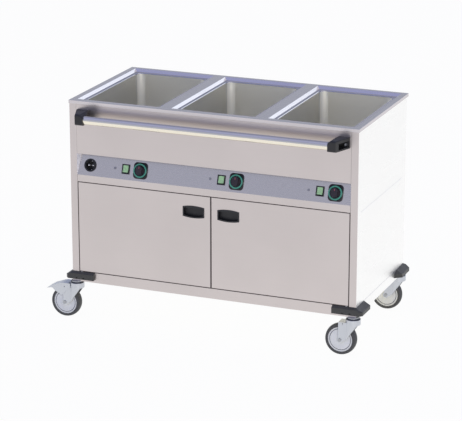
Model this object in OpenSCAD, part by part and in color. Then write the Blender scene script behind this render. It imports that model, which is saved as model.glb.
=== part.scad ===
// A heated serving trolley: a stainless steel cabinet on four swivel castors, with three
// heated wells in its top, a sloping control panel, a push bar and a cupboard with two doors.
// Millimetres, +Z up, +X to the right and the doors at -Y.
// The origin is on the floor, under the middle of the trolley's overall box.

/* [Cabinet] */
// Width of the worktop between the outer pans' recesses and its ends
side_edge = 25; // [10:0.5:75]
// Width of the worktop in front of the recesses
front_edge = 28.5; // [22:0.5:60]
// Width of the worktop behind the recesses
rear_edge = 18.5; // [18:0.5:60]
// Height of the worktop's turned-down edge
rim_h = 13; // [11:0.5:20]
// How far the worktop stands out past the front and the sides
overhang = 2; // [1:0.5:6]
// How far the worktop stands out past the back
rear_overhang = 16; // [4:1:24]
// Thickness of the steel sheet
sheet = 1.2; // [1:0.1:1.6]
// Width of the flanges folded round the panels
fold = 12; // [8:1:16]
// Width of the corner posts, seen from the front
post_w = 29; // [25:1:40]
// Depth of the corner posts, seen from the side
post_dep = 35; // [28:1:50]
// Gap round each door and between panels
seam = 1.5; // [1.3:0.1:2.5]
// Height of the panel under the worktop
upper_h = 201; // [201:1:240]
// Height of the gap that the control panel slopes back into
control_h = 86; // [80:1:110]
// Height of the rail between the controls and the doors
header_h = 28; // [20:1:40]
// Depth of the rail between the controls and the doors
header_dep = 40; // [34:1:60]
// Height of the doors
door_h = 372; // [300:1:450]
// Height of the base rails
rail_h = 41; // [34:1:60]
// Width of the base rails
rail_w = 30; // [28:1:40]
// Wall of the base rails
rail_t = 2; // [1.5:0.1:3]
// Height at which the cabinet's two rows of side panels meet, above the door bottoms
side_seam_h = 369; // [200:1:369]

/* [Wells] */
// Width of the recess that a pan's rim sits in
seat_w = 350; // [346:1:360]
// Depth of that recess, front to back
seat_dep = 553; // [549:1:560]
// Width of the sloping sides of the recess
seat_slope = 8; // [6:0.5:12]
// Width of the worktop between two recesses
seat_gap = 50; // [25:1:60]
// Width of the ledge under a pan's rim, on each side of its well
side_ledge = 12; // [7:0.5:20]
// Width of the ledge at a well's front and back
end_ledge = 13.5; // [8.5:0.5:20]
// Depth of a well below the pan rims
well_h = 200; // [100:1:200]
// Radius of a well's upright corners
well_r = 32; // [15:1:60]
// Width of the flange that hangs a well under the worktop
well_lip = 5; // [3:0.5:6]
// Diameter of a well's drain hole
drain_d = 20; // [12:1:30]
// Distance from a well's back wall to the middle of its drain hole
drain_in = 60; // [50:1:70]

/* [Controls] */
// Lean of the control panel, in degrees from upright
lean = 17.5; // [5:0.5:20]
// How far each end of the control recess draws in
end_draw = 9; // [2:1:20]
// How much further apart the sets of controls are than the wells
control_spread = 3; // [-40:1:3]
// Distance from the right post to the middle of the right knob
knob_in = 64; // [64:1:110]
// Height of all controls up the sloping panel
control_up = 41.5; // [38:0.5:48]
// Diameter of a knob
knob_d = 59; // [40:1:60]
// Thickness of a knob's skirt
knob_skirt = 6; // [5:0.5:12]
// Width of the rim round a knob's face
knob_rim = 6; // [3:0.5:8]
// Diameter of a knob's grip
grip_d = 38; // [24:1:40]
// Height of a knob's grip
grip_h = 11; // [6:0.5:18]
// Diameter of a knob's spindle
spindle_d = 6; // [5:0.5:8]
// Width of the plate behind a knob
dial_w = 60; // [58:1:66]
// Height of the plate behind a knob
dial_h = 65; // [58:1:67]
// Thickness of the plate behind a knob
dial_t = 2; // [1.5:0.5:5]
// Distance from a knob to its switch
switch_off = 62.5; // [55:0.5:75]
// Width of a switch frame
switch_w = 33.5; // [30:0.5:38]
// Height of a switch frame
switch_h = 39; // [34:0.5:44]
// Width of a switch rocker
rocker_w = 21.5; // [18:0.5:24]
// Height of a switch rocker
rocker_h = 28; // [22:0.5:29]
// How far a switch rocker stands in front of its pin
rocker_rise = 9; // [7:0.5:11]
// Tilt of a switch rocker either way, in degrees
rocker_tilt = 7; // [4:0.5:9]
// Distance from a knob to its signal lamp
lamp_off = 109; // [95:1:120]
// Diameter of a signal lamp
lamp_d = 10; // [8:0.5:14]
// Diameter of the mains inlet
inlet_d = 52; // [46:1:60]
// Depth of the mains inlet
inlet_dep = 34; // [30:1:40]
// Distance from the left post to the middle of the mains inlet
inlet_in = 52; // [38:1:80]
// Diameter of the inlet's pins
pin_d = 4.8; // [4:0.1:5]
// Distance between the inlet's pins
pin_gap = 19; // [17:0.5:22]

/* [Push bar] */
// Diameter of the push bar
bar_d = 33; // [25:1:38]
// Wall of the push bar
bar_t = 1.5; // [1:0.1:3]
// Distance from the front panel to the middle of the bar
bar_out = 64.5; // [55:0.5:90]
// Depth of the bar's middle below the worktop's top
bar_drop = 58; // [45:1:90]
// Distance from a bracket's foot to the corner post
foot_in = 6; // [1:1:60]
// Width of a bracket at the bar
bracket_w = 33; // [28:1:45]
// Height of a bracket
bracket_h = 44; // [42:1:52]
// Wall of a bracket in front of the bar
bracket_wall = 3.5; // [3:0.5:8]
// How far a bracket's middle lies above the bar's
bracket_rise = 3; // [0:0.5:4]
// How deep the bar goes into each bracket
bar_socket = 22; // [12:1:26]
// How much wider a bracket's foot reaches outwards than its front
foot_out = 28; // [20:1:30]

/* [Doors] */
// Thickness of a door
door_t = 20; // [19:0.5:26]
// Diameter of the hinge pins
hinge_d = 6; // [4:0.5:6.5]
// Length of a hinge pin inside the door
hinge_len = 16; // [10:1:30]
// Place of the hinge pins, in from the door's edge
hinge_in = 9; // [8:0.5:12]
// Place of the hinge pins, back from the door's face
hinge_back = 4.5; // [4.5:0.5:5]
// Width of a door pull
pull_w = 90; // [70:1:110]
// Height of a door pull at its ends
pull_h = 39; // [30:1:50]
// Height of the curve along a door pull's top and bottom
pull_bow = 5; // [2:0.5:10]
// Height of a door pull's lip, over the middle of its pocket
pull_lip = 8.5; // [6:0.5:14]
// Thickness of a door pull's rim
pull_t = 2; // [1:0.5:4]
// Depth of a door pull's pocket
pull_dep = 15; // [12:0.5:16]
// Place of a door pull, from the door's free edge
pull_in = 27; // [20:1:60]
// Place of a door pull's middle, down from the door's top
pull_down = 69; // [50:1:150]

/* [Bumpers] */
// Height of a corner bumper
bumper_h = 30; // [24:1:38]
// How far a bumper stands out past the sides
bumper_side = 27; // [15:1:40]
// How far a bumper stands out past the front and the back
bumper_front = 13; // [10:1:15]
// Length of a bumper along the front
bumper_len = 96; // [70:1:140]
// Length of a bumper's flat along the side
bumper_flat = 90; // [60:1:120]
// Length of the taper at a bumper's end
bumper_taper = 20; // [20:1:60]

/* [Castors] */
// Diameter of a wheel
wheel_d = 125; // [100:1:160]
// Width of a wheel's tyre
tyre_w = 32; // [26:1:34]
// Thickness of a tyre
tyre_t = 13; // [8:0.5:18]
// Gap between a wheel and its fork's head
wheel_gap = 2; // [1.5:0.5:8]
// Distance from a swivel to its wheel's axle
trail = 47; // [40:1:50]
// Place of the swivels, in from the cabinet's sides
swivel_in = 14; // [12:1:20]
// Place of the swivels, in from the cabinet's front and back
swivel_back = 9; // [8.5:0.5:14]
// Diameter of a fork's round head
head_d = 58; // [50:1:62]
// Height of a fork's round head
head_h = 20; // [15:1:26]
// Height of a castor's bearing plate, over the fork's head
hub_h = 8.6; // [4:0.1:15]
// Thickness of a fork's side plates
fork_t = 2.5; // [2:0.1:4]
// Distance between a fork's side plates
fork_gap = 39; // [38:0.5:48]
// Diameter of an axle
axle_d = 8; // [6:0.5:10]
// Diameter of a castor's threaded stem
stem_d = 10; // [8:0.5:10]
// Length of a castor's threaded stem
stem_len = 28; // [15:1:32]
// Reach of a brake pedal from its swivel
pedal_reach = 124; // [116:1:140]
// Thickness of a brake pedal's sheet
pedal_t = 2; // [1.5:0.1:3]

/* [Hidden] */
$fn = 48;

// Clearances
run_gap = 0.05;   // round a pin or shaft that turns
fit_gap = 0.1;    // round a fixed piece
part_gap = 0.4;   // between pieces that move past each other
eps = 1;          // how far a cut runs past the piece that it cuts

// Levels, from the floor up
head_z0 = wheel_d + wheel_gap;
head_z1 = head_z0 + head_h;
rail_z = head_z1 + part_gap + hub_h;
door_sill_z = rail_z + rail_h;
door_z = door_sill_z + seam;
header_z = door_z + door_h + seam;
control_z = header_z + header_h;
upper_z = control_z + control_h;
rim_z = upper_z + upper_h;
top_z = rim_z + rim_h;
seat_z = rim_z + sheet;
well_z = seat_z - well_h;
side_seam_z = door_z + side_seam_h;
bar_z = top_z - bar_drop;
bracket_z = bar_z + bracket_rise;
axle_z = wheel_d/2;

// Plan of the worktop
flat_w = seat_w - 2*seat_slope;
flat_dep = seat_dep - 2*seat_slope;
well_w = flat_w - 2*side_ledge;
well_dep = flat_dep - 2*end_ledge;
well_pitch = seat_w + seat_gap;
well_xs = [-well_pitch, 0, well_pitch];
top_len = 2*well_pitch + seat_w + 2*side_edge;
top_dep = front_edge + seat_dep + rear_edge;
seat_y = (front_edge - rear_edge)/2;

// Plan of the cabinet
side_x = top_len/2 - overhang;
front_y = -(top_dep/2 - overhang);
back_y = top_dep/2 - rear_overhang;
mid_y = (front_y + back_y)/2;
post_x = side_x - post_w;
post_y0 = front_y + post_dep;
post_y1 = back_y - post_dep;
control_dep = control_h*tan(lean);
ledge = control_dep + 2*sheet;
bar_y = front_y - bar_out;
bar_len = 2*(post_x - foot_in - foot_out - bracket_w);
inlet_x = -post_x + inlet_in;
control_pitch = well_pitch + control_spread;
knob_xs = [for (i = [-2:0]) post_x - knob_in + i*control_pitch];
lamp_rim = 1;
inlet_rim = 3;

// Doors
door_x0 = seam/2;
door_x1 = post_x - seam;
hinge_x = door_x1 - hinge_in;
hinge_y = front_y + hinge_back;
pull_x = door_x0 + pull_in + pull_w/2;
pull_z = door_z + door_h - pull_down;

// Castors
swivel_x = side_x - swivel_in;
swivel_y0 = front_y + swivel_back;
swivel_y1 = back_y - swivel_back;
hub_d = 46;
king_d = 14;
nut_h = 6.5;
nut_wall = 3;
stem_room = 1;
bearing_dep = 3;
bearing_wall = 4.5;
fork_w = fork_gap + 2*fork_t;
crease_x = -19;
leg_in = 6;
leg_z = axle_z + 7;
leg_end_r = 11;
leg_end_turn = 50;
plate_z = head_z0 + 8;
plate_t = 3;
pedal_pin_x = -46;
spare_hole_x = -36;
pedal_pin_d = 4;
pedal_pin_z = head_z0 + pedal_pin_d/2 + 0.5;
pedal_room = 2;
pin_out = 0.5;

// The trolley's overall box, which its origin is under
box_x0 = -max(swivel_x + pedal_reach, top_len/2);
box_x1 = max(side_x + bumper_side, top_len/2);
box_y0 = bar_y - bar_d/2 - bracket_wall;
box_y1 = max(top_dep/2, back_y + bumper_front, swivel_y1 + head_d/2);
shift = [-(box_x0 + box_x1)/2, -(box_y0 + box_y1)/2, 0];

// ---------- Shared forms ----------

// A rectangle with true round corners, centred
module round_rect(w, h, r) {
    square([w - 2*r, h], center = true);
    square([w, h - 2*r], center = true);
    for (x = [-1, 1], y = [-1, 1])
        translate([x*(w/2 - r), y*(h/2 - r)]) circle(r);
}

// A box given by its two corners
module block(a, b) {
    translate(a) cube(b - a);
}

// The same piece on the left and on the right
module both_sides() {
    children();
    mirror([1, 0, 0]) children();
}

// The front piece, turned about to stand at the back
module at_back() {
    translate([0, 2*mid_y, 0]) mirror([0, 1, 0]) children();
}

// A panel of folded sheet, its face at y = 0 and its flanges towards +Y
module tray(w, h, flange) {
    difference() {
        cube([w, flange, h]);
        translate([sheet, sheet, sheet])
            cube([w - 2*sheet, flange, h - 2*sheet]);
    }
}

// A hopper with four sloping sides, wide at the top, its base at z = 0
module hopper(top_w, top_l, base_w, base_l, h) {
    intersection() {
        rotate([90, 0, 0])
            linear_extrude(top_l + 2, center = true)
                polygon([[-base_w/2, 0], [base_w/2, 0], [top_w/2, h], [-top_w/2, h]]);
        rotate([90, 0, 90])
            linear_extrude(top_w + 2, center = true)
                polygon([[-base_l/2, 0], [base_l/2, 0], [top_l/2, h], [-top_l/2, h]]);
    }
}

// A rod along X, Y or Z
module rod(d, len, axis = "z") {
    turn = axis == "x" ? [0, 90, 0] : axis == "y" ? [-90, 0, 0] : [0, 0, 0];
    rotate(turn) cylinder(d = d, h = len);
}

// ---------- Worktop and wells ----------

module worktop() {
    drop = top_z - seat_z;
    inner_x = top_len/2 - sheet;
    inner_y = top_dep/2 - sheet;
    hem_x = side_x - fold;
    color("silver") difference() {
        union() {
            difference() {
                block([-top_len/2, -top_dep/2, rim_z], [top_len/2, top_dep/2, top_z]);
                block([-hem_x, front_y + fold, rim_z - eps], [hem_x, back_y - fold, rim_z + sheet]);
                block([-inner_x, -inner_y, rim_z + sheet], [inner_x, inner_y, top_z - sheet]);
            }
            for (x = well_xs) translate([x, seat_y, rim_z])
                hopper(seat_w + 2*sheet, seat_dep + 2*sheet, flat_w + 2*sheet,
                    flat_dep + 2*sheet, rim_h);
        }
        for (x = well_xs) translate([x, seat_y, seat_z]) {
            hopper(seat_w, seat_dep, flat_w, flat_dep, drop);
            translate([-seat_w/2, -seat_dep/2, drop]) cube([seat_w, seat_dep, eps]);
            translate([0, 0, -sheet - eps])
                linear_extrude(sheet + 2*eps) round_rect(well_w, well_dep, well_r);
        }
    }
}

module well(i) {
    lip_w = well_w + 2*sheet + 2*well_lip;
    lip_dep = well_dep + 2*sheet + 2*well_lip;
    color("lightgray") translate([well_xs[i], seat_y, 0]) difference() {
        union() {
            translate([0, 0, well_z - sheet]) linear_extrude(rim_z - well_z + sheet)
                round_rect(well_w + 2*sheet, well_dep + 2*sheet, well_r + sheet);
            translate([0, 0, rim_z - sheet]) linear_extrude(sheet)
                round_rect(lip_w, lip_dep, well_r + sheet + well_lip);
        }
        translate([0, 0, well_z]) linear_extrude(rim_z - well_z + eps)
            round_rect(well_w, well_dep, well_r);
        translate([0, drain_y - seat_y, well_z - sheet - eps]) cylinder(d = drain_d, h = sheet + 2*eps);
    }
}

// ---------- Heating and drain ----------

heater_d = 8;
heater_legs = 4;
heater_step = 64;
heater_run = 330;
heater_in = 18;
heater_y = seat_y - well_dep/2 + heater_in + (heater_run + heater_step)/2;
clamp_w = 14;
clamp_in = 40;
clamp_wall = 1;
drain_y = seat_y + well_dep/2 - drain_in;
pipe_wall = 3;
pipe_d = drain_d + 2*pipe_wall;
manifold_drop = 45;
manifold_z = well_z - manifold_drop;
valve_drop = 60;
valve_z = control_z - valve_drop;
strainer_t = 2;
strainer_hole_d = 3;
strainer_ring = 6;
valve_d = pipe_d + 8;
pipe_room = 1;
valve_h = 44;
outlet_h = 45;
stop_h = 24;
neck_d = 18;
neck_len = 8;
neck_y = drain_y - valve_d/2 - neck_len;
lever_t = 3;
lever_len = 78;
lever_hub_d = 16;
lever_end_d = 12;
lever_hole_d = 5;
lever_cap_d = 10;
valve_seat = 6;
spindle_reach = drain_y - neck_y - valve_seat;

module heating_elements() {
    z = well_z - sheet - heater_d/2 - clamp_wall;
    clamp_len = heater_step*heater_legs;
    color("dimgray") for (wx = well_xs) translate([wx, heater_y, z]) {
        for (i = [0:heater_legs - 1]) {
            x = (i - (heater_legs - 1)/2)*heater_step;
            translate([x, -heater_run/2, 0]) rod(heater_d, heater_run, "y");
        }
        for (i = [0:heater_legs - 2]) {
            x = (i + 0.5 - (heater_legs - 1)/2)*heater_step;
            far = i % 2 == 0 ? 1 : -1;
            translate([x, far*heater_run/2, 0]) rotate([0, 0, far > 0 ? 0 : 180])
                rotate_extrude(angle = 180) translate([heater_step/2, 0]) circle(d = heater_d);
        }
        for (s = [-1, 1])
            translate([-clamp_len/2, s*(heater_run/2 - clamp_in) - clamp_w/2, -heater_d/2 - clamp_wall])
                cube([clamp_len, clamp_w, heater_d + 2*clamp_wall]);
    }
}

// One pipe hangs under each well, with a strainer at its top
module drain_manifold() {
    strainer_z = well_z - sheet - strainer_t;
    color("lightsteelblue") difference() {
        union() {
            for (x = well_xs) translate([x, drain_y, manifold_z])
                cylinder(d = pipe_d, h = well_z - sheet - manifold_z);
            translate([-well_pitch - pipe_d/2, drain_y, manifold_z])
                rod(pipe_d, 2*well_pitch + pipe_d, "x");
            translate([0, drain_y, valve_z - outlet_h])
                cylinder(d = pipe_d, h = manifold_z - valve_z + outlet_h);
            translate([0, drain_y, valve_z - valve_h/2]) cylinder(d = valve_d, h = valve_h);
            translate([0, neck_y, valve_z]) rod(neck_d, drain_y - neck_y, "y");
        }
        for (x = well_xs) translate([x, drain_y, 0]) {
            translate([0, 0, manifold_z]) cylinder(d = drain_d, h = strainer_z - manifold_z);
            translate([0, 0, strainer_z - eps]) cylinder(d = strainer_hole_d, h = strainer_t + 2*eps);
            for (turn = [0:60:300]) rotate([0, 0, turn])
                translate([strainer_ring, 0, strainer_z - eps])
                    cylinder(d = strainer_hole_d, h = strainer_t + 2*eps);
        }
        translate([-well_pitch, drain_y, manifold_z]) rod(drain_d, 2*well_pitch, "x");
        translate([0, drain_y, valve_z + stop_h/2])
            cylinder(d = drain_d, h = manifold_z - valve_z - stop_h/2);
        translate([0, drain_y, valve_z - outlet_h - eps])
            cylinder(d = drain_d, h = outlet_h - stop_h/2 + eps);
        translate([0, neck_y - eps, valve_z])
            rod(spindle_d + 2*run_gap, spindle_reach + eps, "y");
    }
}

// The lever lies across the pipe while the valve is shut
module drain_lever() {
    color("firebrick") translate([0, neck_y - lever_t - part_gap, valve_z]) difference() {
        union() {
            translate([0, lever_t/2, 0]) rod(spindle_d, spindle_reach, "y");
            hull() {
                rod(lever_hub_d, lever_t, "y");
                translate([lever_len, 0, 0]) rod(lever_end_d, lever_t, "y");
            }
            translate([0, -lever_t, 0]) rod(lever_cap_d, lever_t + lever_t/2, "y");
        }
        translate([lever_len - lever_end_d/2, -eps, 0]) rod(lever_hole_d, lever_t + 2*eps, "y");
    }
}

// ---------- Cabinet ----------

module upper_front_panel() {
    color("gainsboro") difference() {
        translate([-post_x + part_gap, front_y, upper_z]) tray(2*(post_x - part_gap), upper_h, ledge);
        block([-post_x - eps, front_y + fold, upper_z + sheet],
            [post_x + eps, front_y + ledge + eps, rim_z + eps]);
        for (s = [-1, 1]) translate([s*screw_x, front_y - eps, screw_z])
            rod(screw_d + 2*fit_gap, sheet + 2*eps, "y");
    }
}

// Moves a piece onto the sloping panel: x along it, y into it and z up it
module on_panel(x, up = control_up) {
    translate([x, front_y, control_z]) rotate([-lean, 0, 0]) translate([0, 0, up]) children();
}

// The space in front of the sloping panel, and the panel's own thickness behind it
module control_recess() {
    rotate([90, 0, 90]) translate([0, 0, -post_x]) linear_extrude(2*post_x)
        polygon([[front_y, control_z], [front_y + 2*sheet, control_z],
            [front_y + ledge, upper_z], [front_y, upper_z]]);
}

module control_panel() {
    slope_h = control_h/cos(lean);
    end_turn = 90 + atan(end_draw/control_dep);
    end_len = norm([end_draw, control_dep]) + 3*sheet;
    color("slategray") difference() {
        union() {
            intersection() {
                on_panel(0, 0) translate([-post_x, 0, -sheet]) cube([2*post_x, sheet, slope_h + 2*sheet]);
                block([-post_x, front_y, control_z], [post_x, back_y, upper_z]);
            }
            both_sides() intersection() {
                translate([post_x, front_y, control_z]) rotate([0, 0, end_turn])
                    translate([0, -sheet, 0]) cube([end_len, sheet, control_h]);
                control_recess();
            }
        }
        for (x = knob_xs) {
            on_panel(x) translate([0, -eps, 0])
                rod(spindle_d + 2*spindle_room, sheet + 2*eps, "y");
            on_panel(x - lamp_off) translate([0, -eps, 0])
                rod(lamp_d - 2*lamp_rim + 2*fit_gap, sheet + 2*eps, "y");
            on_panel(x - switch_off) switch_block(fit_gap, -eps, sheet + 2*eps);
        }
        on_panel(inlet_x) translate([0, -eps, 0])
            rod(inlet_d - 2*inlet_rim + 2*fit_gap, sheet + 2*eps, "y");
    }
}

module header_rail() {
    x = post_x - seam/2;
    color("gainsboro") difference() {
        block([-x, front_y, header_z], [x, front_y + header_dep, control_z]);
        block([-x - eps, front_y + sheet, header_z + sheet],
            [x + eps, front_y + header_dep + eps, control_z - sheet]);
        for (s = [-1, 1]) translate([s*hinge_x, hinge_y, header_z - eps])
            cylinder(d = hinge_d + 2*fit_gap, h = sheet + 2*eps);
    }
}

// One hollow corner post at the front right
module post() {
    difference() {
        block([post_x, front_y, door_sill_z], [side_x, post_y0, rim_z]);
        block([post_x + sheet, front_y + sheet, door_sill_z - eps],
            [side_x - sheet, post_y0 - sheet, rim_z + eps]);
    }
}

module front_posts() {
    color("gainsboro") both_sides() post();
}

module rear_posts() {
    color("gainsboro") both_sides() at_back() post();
}

// A folded panel on the right side, between two heights
module side_panel(z0, z1) {
    dep = post_y1 - post_y0 - 2*part_gap;
    translate([side_x, post_y0 + part_gap, z0]) rotate([0, 0, 90]) tray(dep, z1 - z0, fold);
}

module upper_side_panels() {
    color("whitesmoke") both_sides() side_panel(side_seam_z + seam/2, rim_z);
}

module lower_side_panels() {
    color("whitesmoke") both_sides() side_panel(door_sill_z, side_seam_z - seam/2);
}

module back_panel() {
    w = 2*post_x - 2*part_gap;
    levels = [[door_sill_z, side_seam_z - seam/2], [side_seam_z + seam/2, rim_z]];
    color("whitesmoke") for (z = levels) translate([w/2, back_y, z[0]]) rotate([0, 0, 180])
        tray(w, z[1] - z[0], fold);
}

// A sheet that fills the cabinet's plan inside the folded flanges, round the posts
module deck(z, front) {
    wide = side_x - fold - part_gap;
    narrow = post_x - part_gap;
    flange_y0 = post_y0 + part_gap + sheet + part_gap;
    flange_y1 = post_y1 - part_gap - sheet - part_gap;
    block([-narrow, front, z], [narrow, back_y - fold - part_gap, z + sheet]);
    block([-wide, flange_y0, z], [wide, flange_y1, z + sheet]);
}

module cupboard_ceiling() {
    color("lightgray") difference() {
        deck(control_z - 2*sheet, front_y + sheet + part_gap);
        translate([0, drain_y, control_z - 3*sheet])
            cylinder(d = pipe_d + 2*pipe_room, h = 3*sheet);
    }
}

module cupboard_floor() {
    door_room = 2;
    color("lightgray") deck(door_sill_z, front_y + door_t + door_room);
}

// ---------- Base, bumpers and push bar ----------

rib_x = well_pitch/2;

module base_frame() {
    z0 = rail_z;
    z1 = door_sill_z;
    in_x = side_x - rail_w;
    in_y0 = front_y + rail_w;
    in_y1 = back_y - rail_w;
    color("gainsboro") difference() {
        union() {
            difference() {
                block([-side_x, front_y, z0], [side_x, back_y, z1]);
                block([-in_x, in_y0, z0 - eps], [in_x, in_y1, z1 + eps]);
            }
            for (x = [-rib_x, rib_x])
                block([x - rail_w/2, in_y0 - rail_t, z0], [x + rail_w/2, in_y1 + rail_t, z1]);
        }
        for (y = [front_y + rail_t, in_y1 + rail_t])
            block([-in_x - rail_t, y, z0 + rail_t],
                [in_x + rail_t, y + rail_w - 2*rail_t, z1 - rail_t]);
        for (x = [-side_x + rail_t, in_x + rail_t])
            block([x, in_y0, z0 + rail_t], [x + rail_w - 2*rail_t, in_y1, z1 - rail_t]);
        for (x = [-rib_x, rib_x])
            block([x - rail_w/2 + rail_t, in_y0 + rail_t, z0 + rail_t],
                [x + rail_w/2 - rail_t, in_y1 - rail_t, z1 - rail_t]);
        for (x = [-swivel_x, swivel_x], y = [swivel_y0, swivel_y1])
            translate([x, y, z0 - eps])
                cylinder(d = stem_d + 2*fit_gap, h = stem_len + stem_room + eps);
        for (x = [-hinge_x, hinge_x])
            translate([x, hinge_y, z1 - rail_t - eps])
                cylinder(d = hinge_d + 2*fit_gap, h = rail_t + 2*eps);
    }
}

// Plan of the front right bumper's outer edge, standing out by s at the side and f in front
function bumper_plan(s, f) = [
    [side_x - bumper_len, front_y - f],
    [side_x + s*corner_side, front_y - f],
    [side_x + s, front_y - f + s*corner_front],
    [side_x + s, front_y + bumper_flat],
    [side_x, front_y + bumper_flat + bumper_taper*s/bumper_side],
    [side_x - bumper_len, front_y + bumper_flat + bumper_taper*s/bumper_side]];

bumper_side_bevel = 15.5;
bumper_front_bevel = 7;
bumper_hole_d = 7;
bumper_hole_dep = 5;
bumper_hole_up = 5;
bumper_holes_in = [22, 52];
corner_side = 0.62;   // where the cut corner starts, as a share of the side's stand-out
corner_front = 0.45;  // and where it ends

module bumper() {
    z0 = door_sill_z - bumper_h;
    shelf = bumper_side*bumper_front_bevel/bumper_side_bevel;
    difference() {
        hull() {
            translate([0, 0, z0]) linear_extrude(bumper_h - bumper_side_bevel)
                polygon(bumper_plan(bumper_side, bumper_front));
            translate([0, 0, z0]) linear_extrude(bumper_h - bumper_front_bevel)
                polygon(bumper_plan(shelf, bumper_front));
            translate([0, 0, z0]) linear_extrude(bumper_h)
                polygon(bumper_plan(eps, eps));
        }
        block([0, front_y, z0 - eps], [side_x, back_y, door_sill_z + eps]);
        for (x = bumper_holes_in)
            translate([side_x - x, front_y - bumper_front - eps, z0 + bumper_hole_up])
                rod(bumper_hole_d, bumper_hole_dep + eps, "y");
    }
}

module front_bumpers() {
    color("dimgray") both_sides() bumper();
}

module rear_bumpers() {
    color("dimgray") both_sides() at_back() bumper();
}

module push_bar() {
    color("lightsteelblue") translate([-bar_len/2 - bar_socket, bar_y, bar_z]) difference() {
        rod(bar_d, bar_len + 2*bar_socket, "x");
        translate([-eps, 0, 0]) rod(bar_d - 2*bar_t, bar_len + 2*bar_socket + 2*eps, "x");
    }
}

screw_d = 6;
foot_t = 7;
foot_h = 42;
screw_in = 14;
screw_down = 6;
screw_x = bar_len/2 + bracket_w + foot_out - screw_in;
screw_z = bracket_z - screw_down;
bracket_r = 8;
shoulder_in = 13;
shoulder_down = 9;
arm_in = 16;
window_wall = 9;
window_in = 12;
window_down = 3;
window_dep = 60;

// The bar's end bracket on the right: a square head with round edges, which holds the bar,
// and an arm that widens to a hollow foot on the panel
module bar_bracket() {
    x0 = bar_len/2;
    x1 = x0 + bracket_w;
    foot_x1 = x1 + foot_out;
    y0 = box_y0 + bracket_r;
    y1 = bar_y + bar_d/2;
    top = bracket_z + bracket_h/2 - bracket_r;
    low = bracket_z - bracket_h/2 + bracket_r;
    difference() {
        hull() {
            for (y = [y0, y1]) {
                translate([x0, y, low]) rod(2*bracket_r, bracket_w, "x");
                translate([x0 + shoulder_in, y, top]) rod(2*bracket_r, bracket_w - shoulder_in, "x");
                translate([x0, y, top - shoulder_down]) rod(2*bracket_r, bracket_w, "x");
            }
            block([x0 + arm_in, front_y - foot_t, bracket_z - foot_h/2],
                [foot_x1, front_y, bracket_z + foot_h/2]);
        }
        translate([x0 - eps, bar_y, bar_z]) rod(bar_d + 2*fit_gap, bar_socket + fit_gap + eps, "x");
        hull() for (x = [screw_x - window_in, screw_x + foot_out + window_in])
            translate([x, front_y - foot_t, bracket_z - window_down]) rotate([90, 0, 0])
                cylinder(d = foot_h - 2*window_wall, h = window_dep, $fn = 32);
        translate([screw_x, front_y - foot_t - eps, screw_z])
            rod(screw_d + 2*fit_gap, foot_t + 2*eps, "y");
    }
}

module bar_brackets() {
    color("darkslategray") both_sides() bar_bracket();
}

// A socket screw through each bracket's foot and the panel, with its nut behind
module bar_screws() {
    head_w = 11;
    head_t = 5;
    key_w = 5;
    key_dep = 3;
    nut_w = 12;
    nut_t = 5;
    tail = 12;
    color("silver") for (s = [-1, 1]) translate([s*screw_x, front_y - foot_t, screw_z]) {
        translate([0, -head_t, 0]) difference() {
            rod(head_w, head_t, "y");
            translate([0, -eps, 0]) rotate([-90, 0, 0]) cylinder(d = key_w, h = key_dep + eps, $fn = 6);
        }
        rod(screw_d, foot_t + sheet + tail, "y");
        translate([0, foot_t + sheet, 0]) difference() {
            rotate([-90, 0, 0]) cylinder(d = nut_w, h = nut_t, $fn = 6);
            rod(screw_d, nut_t + eps, "y");
        }
    }
}

// ---------- Doors ----------

// The outline of a door pull: straight ends, with a shallow arc along the top and the bottom
module pull_outline(w, h, bow) {
    r = (w*w/4 + bow*bow)/(2*bow);
    intersection() {
        square([w, h + 2*bow], center = true);
        translate([0, h/2 + bow - r]) circle(r, $fn = 360);
        translate([0, -h/2 - bow + r]) circle(r, $fn = 360);
    }
}

// Turns an outline to stand upright and gives it depth towards +Y
module upright(dep) {
    rotate([-90, 0, 0]) mirror([0, 1, 0]) linear_extrude(dep) children();
}

hinge_block = 8;
hinge_end = 2;
pull_rim = 3;
pull_wall = 2;

module door() {
    w = door_x1 - door_x0;
    color("lightgray") difference() {
        translate([door_x0, front_y, door_z]) cube([w, door_t, door_h]);
        difference() {
            block([door_x0 + sheet, front_y + sheet, door_z + sheet],
                [door_x1 - sheet, front_y + door_t - sheet, door_z + door_h - sheet]);
            for (z = [door_z, door_z + door_h - hinge_len - hinge_end])
                block([hinge_x - hinge_block, front_y, z],
                    [door_x1, front_y + door_t, z + hinge_len + hinge_end]);
        }
        translate([pull_x, front_y - eps, pull_z]) upright(sheet + 2*eps)
            pull_outline(pull_w - 2*pull_rim + 2*fit_gap, pull_h - 2*pull_rim + 2*fit_gap, pull_bow);
        for (z = [door_z - eps, door_z + door_h - hinge_len])
            translate([hinge_x, hinge_y, z]) cylinder(d = hinge_d + 2*run_gap, h = hinge_len + eps);
    }
}

module left_door() {
    mirror([1, 0, 0]) door();
}

module right_door() {
    door();
}

// A flush pull: a rim on the door's face, and a pocket that runs up behind its lip
module door_pull() {
    in_w = pull_w - 2*pull_rim;
    in_h = pull_h - 2*pull_rim;
    lip_z = pull_h/2 + pull_bow - pull_lip;
    color("black") translate([pull_x, front_y, pull_z]) difference() {
        union() {
            translate([0, -pull_t, 0]) upright(pull_t) pull_outline(pull_w, pull_h, pull_bow);
            upright(pull_dep) pull_outline(in_w, in_h, pull_bow);
        }
        upright(pull_dep - pull_wall)
            pull_outline(in_w - 2*pull_wall, in_h - 2*pull_wall, pull_bow);
        translate([0, -pull_t - eps, 0]) upright(pull_t + 2*eps) intersection() {
            pull_outline(in_w - 2*pull_wall, in_h - 2*pull_wall, pull_bow);
            translate([-pull_w/2, lip_z - 2*pull_h]) square([pull_w, 2*pull_h]);
        }
    }
}

module left_door_pull() {
    mirror([1, 0, 0]) door_pull();
}

module right_door_pull() {
    door_pull();
}

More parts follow.
